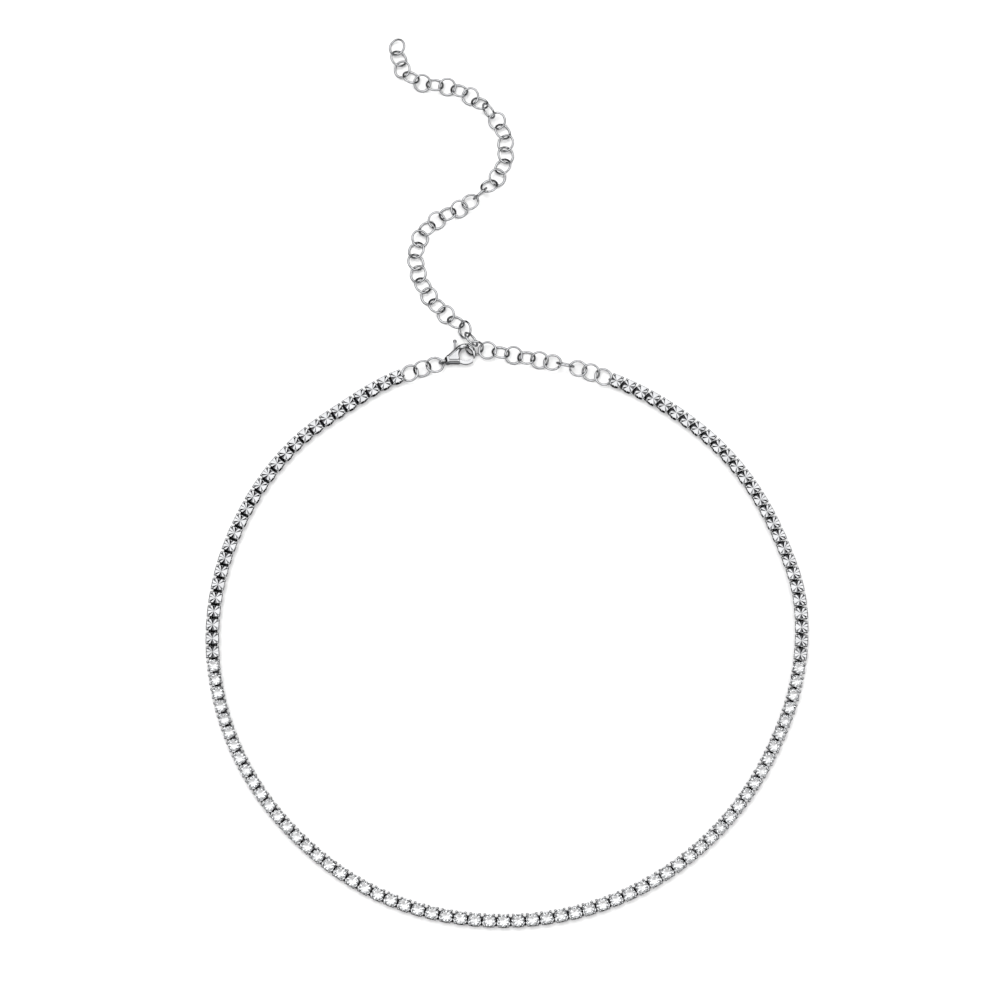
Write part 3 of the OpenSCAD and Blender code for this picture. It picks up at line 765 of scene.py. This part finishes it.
def out_of_opening(p):
    """How far a point of the plan lies outside the hook's opening."""
    def slab(x0, x1, y1):
        dx = np.maximum(x0 - p[:, 0], p[:, 0] - x1)
        dy = p[:, 1] - y1
        return np.hypot(np.maximum(dx, 0), np.maximum(dy, 0)) + np.minimum(np.maximum(dx, dy), 0)

    return np.min([
        np.linalg.norm(p - HOOK_C, axis=1) - HOOK_R,
        slab(HOOK_X - HOOK_R, HOOK_X + HOOK_R, HOOK_C[1]),
        slab(FORK_X, HOOK_X, GATE_Y),
        slab(HOOK_X, HOOK_X + PAST_END, NOSE_Y),
    ], axis=0)


def quarter_round(depth, radius):
    """The share of its height that a rounded edge has reached at a depth."""
    return np.sqrt(1 - (1 - np.clip(depth / radius, 0, 1)) ** 2)


def dome(mesh):
    """Rounds the casting over: a full rim, a round hook band and a sunken web beside the cut."""
    verts = np.empty(len(mesh.vertices) * 3)
    mesh.vertices.foreach_get("co", verts)
    own = placed(verts.reshape(-1, 3), np.linalg.inv(AT_CLASP))
    p, height = own[:, :2], own[:, 2] - BAND_Z
    depth, edge = in_from_outline(p), out_of_opening(p)
    hooked = ease(*HOOK_RUN, p[:, 0])
    keep = RIM_HALF * (1 - hooked) + HOOK_RIM * hooked
    round_outer = quarter_round(depth, OUTER_ROUND * (1 - hooked) + BAND_ROUND * hooked)
    round_edge = quarter_round(edge + CUT_SLACK, CUT_ROUND * (1 - hooked) + BAND_ROUND * hooked)
    sunk = ease(*WEB_IN, depth) * ease(*WEB_RUN, p[:, 0]) * (1 - hooked)
    over = np.maximum(np.abs(height) - keep, 0)
    fall = np.minimum(round_outer, round_edge) * (1 - WEB_SINK * sunk)
    share = 1 + (fall - 1) * ease(*NECK_RUN, p[:, 0])
    own[:, 2] = BAND_Z + np.sign(height) * (np.minimum(np.abs(height), keep) + over * share)
    mesh.vertices.foreach_set("co", placed(own, AT_CLASP).ravel())
    mesh.update()


def cast_copy(node, name, voxel, passes, shaping=None):
    """The node's form as a smooth casting: fine even faces, with every edge rounded."""
    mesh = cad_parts[node].data.copy()
    mesh.transform(Matrix.Scale(1 / MM, 4))
    obj = add_object(name, mesh)
    remesh = obj.modifiers.new("even", "REMESH")
    remesh.mode = "VOXEL"
    remesh.voxel_size = voxel
    soften = obj.modifiers.new("soften", "SMOOTH")
    soften.factor = 0.5
    soften.iterations = passes
    bpy.context.view_layer.update()
    seen = obj.evaluated_get(bpy.context.evaluated_depsgraph_get())
    smooth = bpy.data.meshes.new_from_object(seen)
    obj.modifiers.clear()
    obj.data = smooth
    if shaping:
        shaping(smooth)
    smooth.transform(Matrix.Scale(MM, 4))
    smooth.polygons.foreach_set("use_smooth", [True] * len(smooth.polygons))
    smooth.materials.clear()
    smooth.materials.append(CAST)
    return obj


body = cast_copy("clasp_body", "lobster_body", *BODY_FINENESS, dome)
finish_piece(body, "necklace", "clasp_body")
lever = cast_copy("clasp_lever", "lobster_lever", *LEVER_FINENESS)
lever.data.materials.append(KNOB)
for polygon in lever.data.polygons:
    own = np.linalg.inv(AT_CLASP) @ [*(polygon.center / MM), 1]
    polygon.material_index = int(own[1] > GATE_Y + STEM_FROM)
finish_piece(lever, "lever", "clasp_lever")

# Floor, light and camera

FLOOR_REACH, TABLE_GLOW = 3.0, 0.1
floor_mesh = bpy.data.meshes.new("floor")
floor_corners = [
    (FLOOR_REACH * x, FLOOR_REACH * y, 0) for x, y in ((-1, -1), (1, -1), (1, 1), (-1, 1))
]
floor_mesh.from_pydata(floor_corners, [], [(0, 1, 2, 3)])
floor = add_object("floor", floor_mesh)
paper = bpy.data.materials.new("white_table")
tree, shader = nodes_of(paper)
_, white = noise_ramp(tree, 300.0, 0.55, 0.56)
tree.links.new(white.outputs["Color"], shader.inputs["Base Color"])
shader.inputs["Roughness"].default_value = 0.9
shader.inputs["Specular IOR Level"].default_value = 0.1
shader.inputs["Emission Color"].default_value = (1, 1, 1, 1)
shader.inputs["Emission Strength"].default_value = TABLE_GLOW
floor_mesh.materials.append(paper)

# The tent's grey from the ground to overhead, the way to the lens and the hole in the tent there
TENT = [(0.0, 0.01), (0.3, 0.02), (0.5, 0.04), (0.56, 0.5), (0.62, 3.0), (1.0, 3.0)]
LENS_WAY, LENS_HOLE, HOLE_LEVEL = (0.0, -0.292, 0.956), (0.96, 0.98), 0.02


def studio():
    """A white tent: bright overhead, with a dark hole where the lens looks in and a dark room
    below its edge."""
    world = bpy.data.worlds.new("studio")
    bpy.context.scene.world = world
    world.use_nodes = True
    tree = world.node_tree
    back = tree.nodes["Background"]

    def node(kind, operation=None, *values):
        made = tree.nodes.new(kind)
        if operation:
            made.operation = operation
        for socket, value in zip(made.inputs, values):
            if isinstance(value, bpy.types.NodeSocket):
                tree.links.new(value, socket)
            elif value is not None:
                socket.default_value = value
        return made

    where = node("ShaderNodeTexCoord").outputs["Generated"]
    split = node("ShaderNodeSeparateXYZ", None, where)
    ramp = node("ShaderNodeValToRGB", None, split.outputs["Z"])
    while len(ramp.color_ramp.elements) < len(TENT):
        ramp.color_ramp.elements.new(0.5)
    for element, (at, level) in zip(ramp.color_ramp.elements, TENT):
        element.position = at
        element.color = (level, level, level, 1)
    to_lens = node("ShaderNodeVectorMath", "DOT_PRODUCT", where, LENS_WAY)
    facing = to_lens.outputs["Value"]
    hole = node("ShaderNodeMapRange", None, facing, *LENS_HOLE, 1.0, HOLE_LEVEL)
    hole.interpolation_type = "SMOOTHSTEP"
    tree.links.new(hole.outputs["Result"], back.inputs["Strength"])
    tree.links.new(ramp.outputs["Color"], back.inputs["Color"])


studio()


def aimed(name, data, place, target):
    """An object with the light or the camera, at a place and turned towards its target."""
    obj = add_object(name, data)
    obj.location = place
    obj.rotation_euler = (Vector(target) - Vector(place)).to_track_quat("-Z", "Y").to_euler()
    return obj


KEY_SIZE, KEY_POWER, KEY_PLACE = 0.5, 5.0, (-0.2, 0.25, 1.0)
softbox = bpy.data.lights.new("softbox_key", "AREA")
softbox.shape = "RECTANGLE"
softbox.size, softbox.size_y = KEY_SIZE, KEY_SIZE
softbox.energy = KEY_POWER
key = aimed("softbox_key", softbox, KEY_PLACE, (0, 0, 0))
key.visible_glossy = False

LENS = 104.1
LENS_PLACE, LENS_TARGET = Vector((-1.03, -128.37, 501.10)) * MM, Vector((-1.03, 24.83, 0)) * MM
camera_data = bpy.data.cameras.new("camera")
camera_data.sensor_width = 36.0
camera_data.lens = LENS
camera_data.clip_start = 0.01
camera = aimed("camera", camera_data, LENS_PLACE, LENS_TARGET)
bpy.context.scene.camera = camera
bpy.context.scene.view_settings.view_transform = "Standard"
